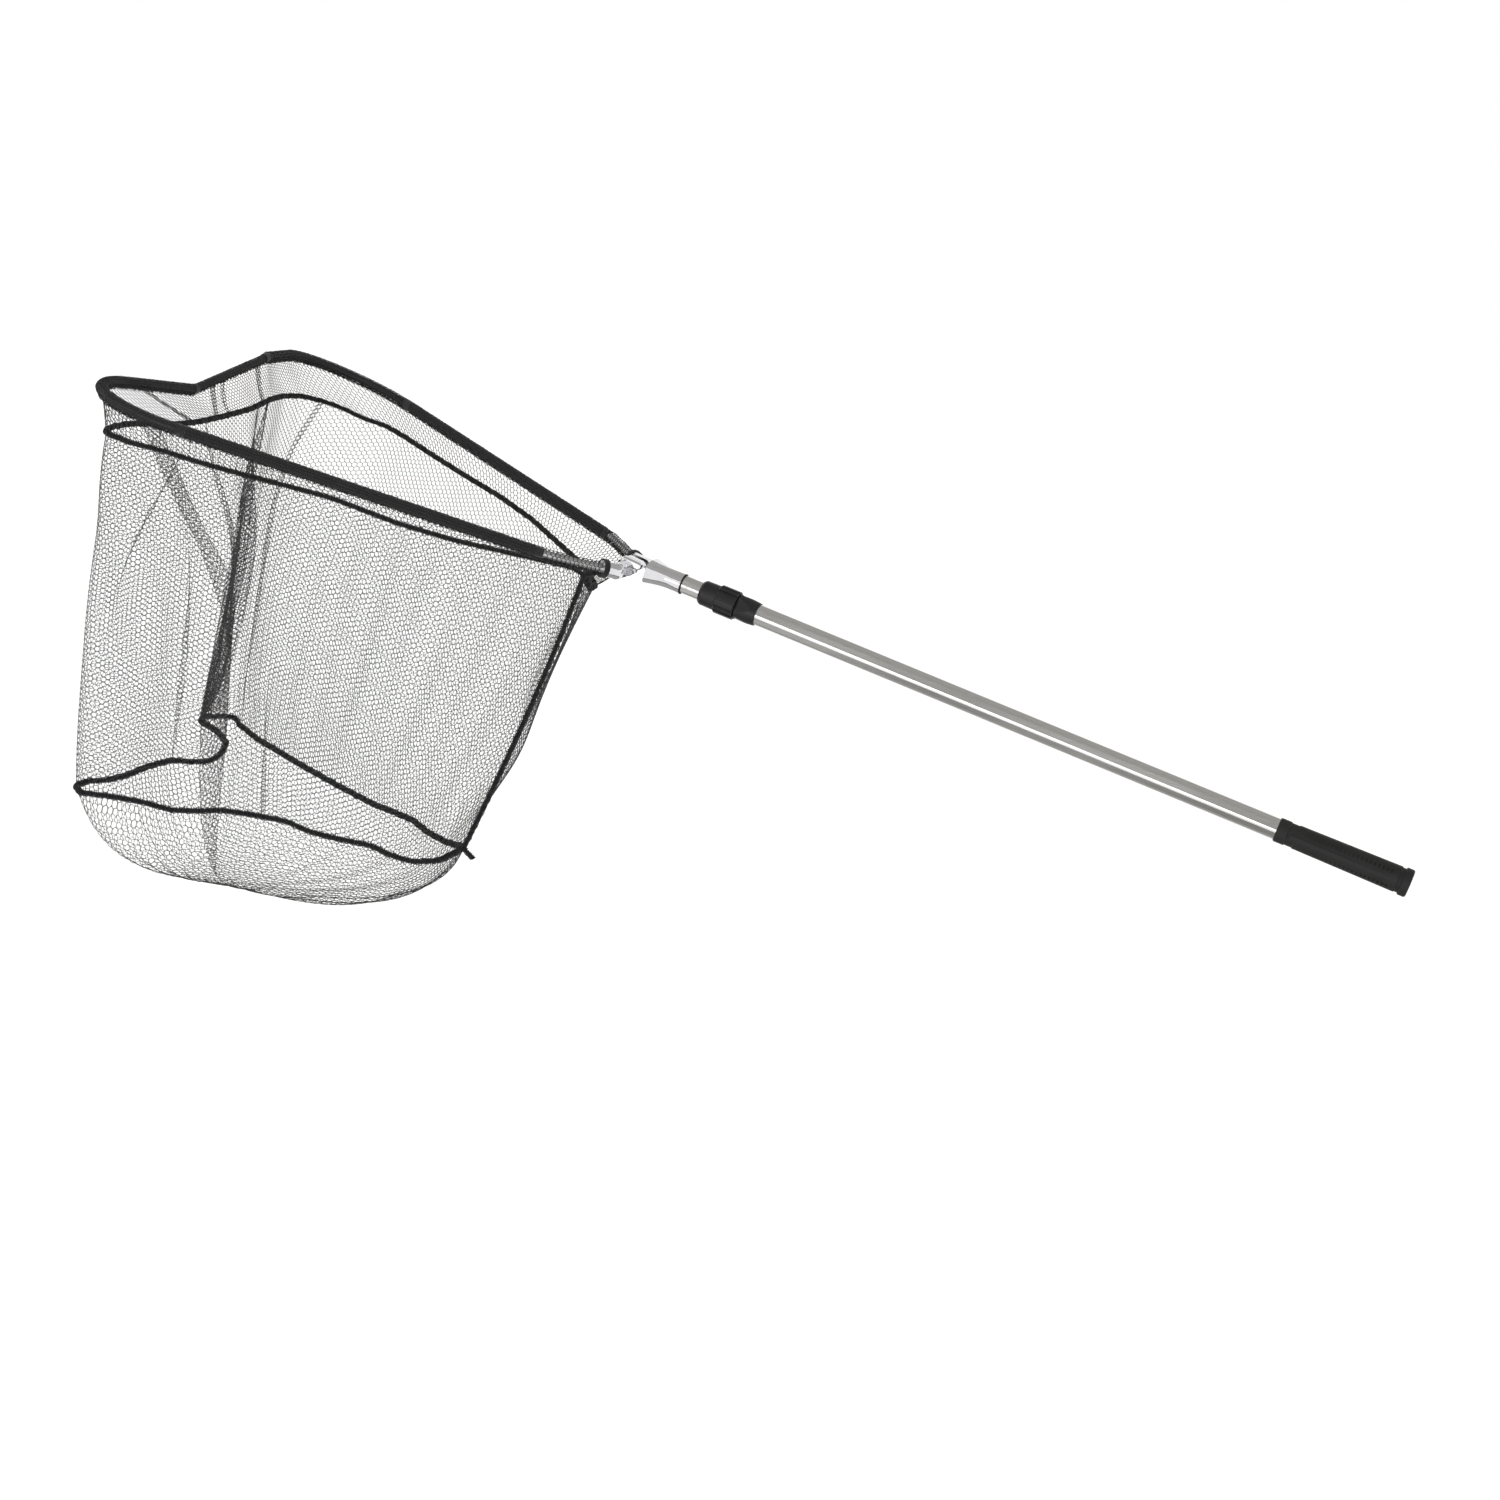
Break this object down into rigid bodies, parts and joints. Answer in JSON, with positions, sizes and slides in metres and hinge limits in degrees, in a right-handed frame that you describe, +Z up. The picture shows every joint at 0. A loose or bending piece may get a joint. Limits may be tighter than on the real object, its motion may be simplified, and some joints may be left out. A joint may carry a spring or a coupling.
{
  "type": "folding landing net",
  "caption": "Folding landing net with a telescopic metal handle, twist lock, rubber grip, fishtail sleeve, hinged triangular frame with curved tips and a deep black netting bag.",
  "frame": {"origin": "The middle of the flat butt face of the grip, where the net is held.", "axes": "+X runs towards the butt end of the handle and the net is at -X; +Z is up, so the bag hangs along -Z; +Y is the right-hand side seen from the butt. The handle rises 9.5 degrees towards the net, as it is carried."},
  "size_m": [1.4105, 0.5497, 0.5736],
  "materials": {
    "bright_tube": "bright drawn aluminium with fine lengthwise lines",
    "chrome_casting": "polished chrome plate",
    "lock_plastic": "fine moulded black plastic",
    "grip_rubber": "soft black rubber with a slight sheen",
    "seal_rubber": "plain black rubber",
    "tip_plastic": "black plastic rod wrapped in mesh",
    "cover_fabric": "black woven cover",
    "binding_fabric": "black overlocked thread",
    "netting": "black hexagonal nylon netting"
  },
  "bodies": {
    "handle": {"outer_tube": "bright_tube", "grip": "grip_rubber", "grip_end_cap": "grip_rubber", "lock_collar": "lock_plastic", "lock_spigot": "lock_plastic", "lock_wedge": "lock_plastic"},
    "nut": {"lock_nut": "lock_plastic"},
    "inner_section": {"inner_tube": "bright_tube", "tube_plug": "lock_plastic", "head_core": "chrome_casting", "core_pin": "chrome_casting"},
    "sleeve": {"lock_sleeve": "chrome_casting", "sleeve_ring": "seal_rubber"},
    "frame": {"left_knuckle": "chrome_casting", "right_knuckle": "chrome_casting", "pivot_rivet": "chrome_casting", "left_rivet_washer": "chrome_casting", "right_rivet_washer": "chrome_casting", "left_arm_tube": "bright_tube", "right_arm_tube": "bright_tube", "left_arm_cover": "cover_fabric", "right_arm_cover": "cover_fabric", "left_tip_joint": "cover_fabric", "right_tip_joint": "cover_fabric", "left_tip": "tip_plastic", "right_tip": "tip_plastic", "front_cord": "cover_fabric", "left_cord_end": "binding_fabric", "right_cord_end": "binding_fabric", "left_hem_binding": "binding_fabric", "right_hem_binding": "binding_fabric", "net_band": "netting", "upper_seam": "binding_fabric", "net_wall": "netting", "back_seam": "binding_fabric", "bottom_seam": "binding_fabric", "net_bottom": "netting"}
  },
  "joints": [
    {"name": "lock_turn", "type": "hinge", "parent": "handle", "child": "nut", "pos_m": [-0.74859, 0, 0.12527], "axis": [-0.9863, 0, 0.165], "range_deg": [0, 120]},
    {"name": "inner_slide", "type": "slide", "parent": "handle", "child": "inner_section", "axis": [-0.9863, 0, 0.165], "range_m": [0, 0.6]},
    {"name": "sleeve_slide", "type": "slide", "parent": "inner_section", "child": "sleeve", "axis": [0.9863, 0, -0.165], "range_m": [0, 0.018]},
    {"name": "frame_fold", "type": "hinge", "parent": "inner_section", "child": "frame", "pos_m": [-0.84739, 0, 0.13471], "axis": [0, 1, 0], "range_deg": [0, 172]}
  ]
}
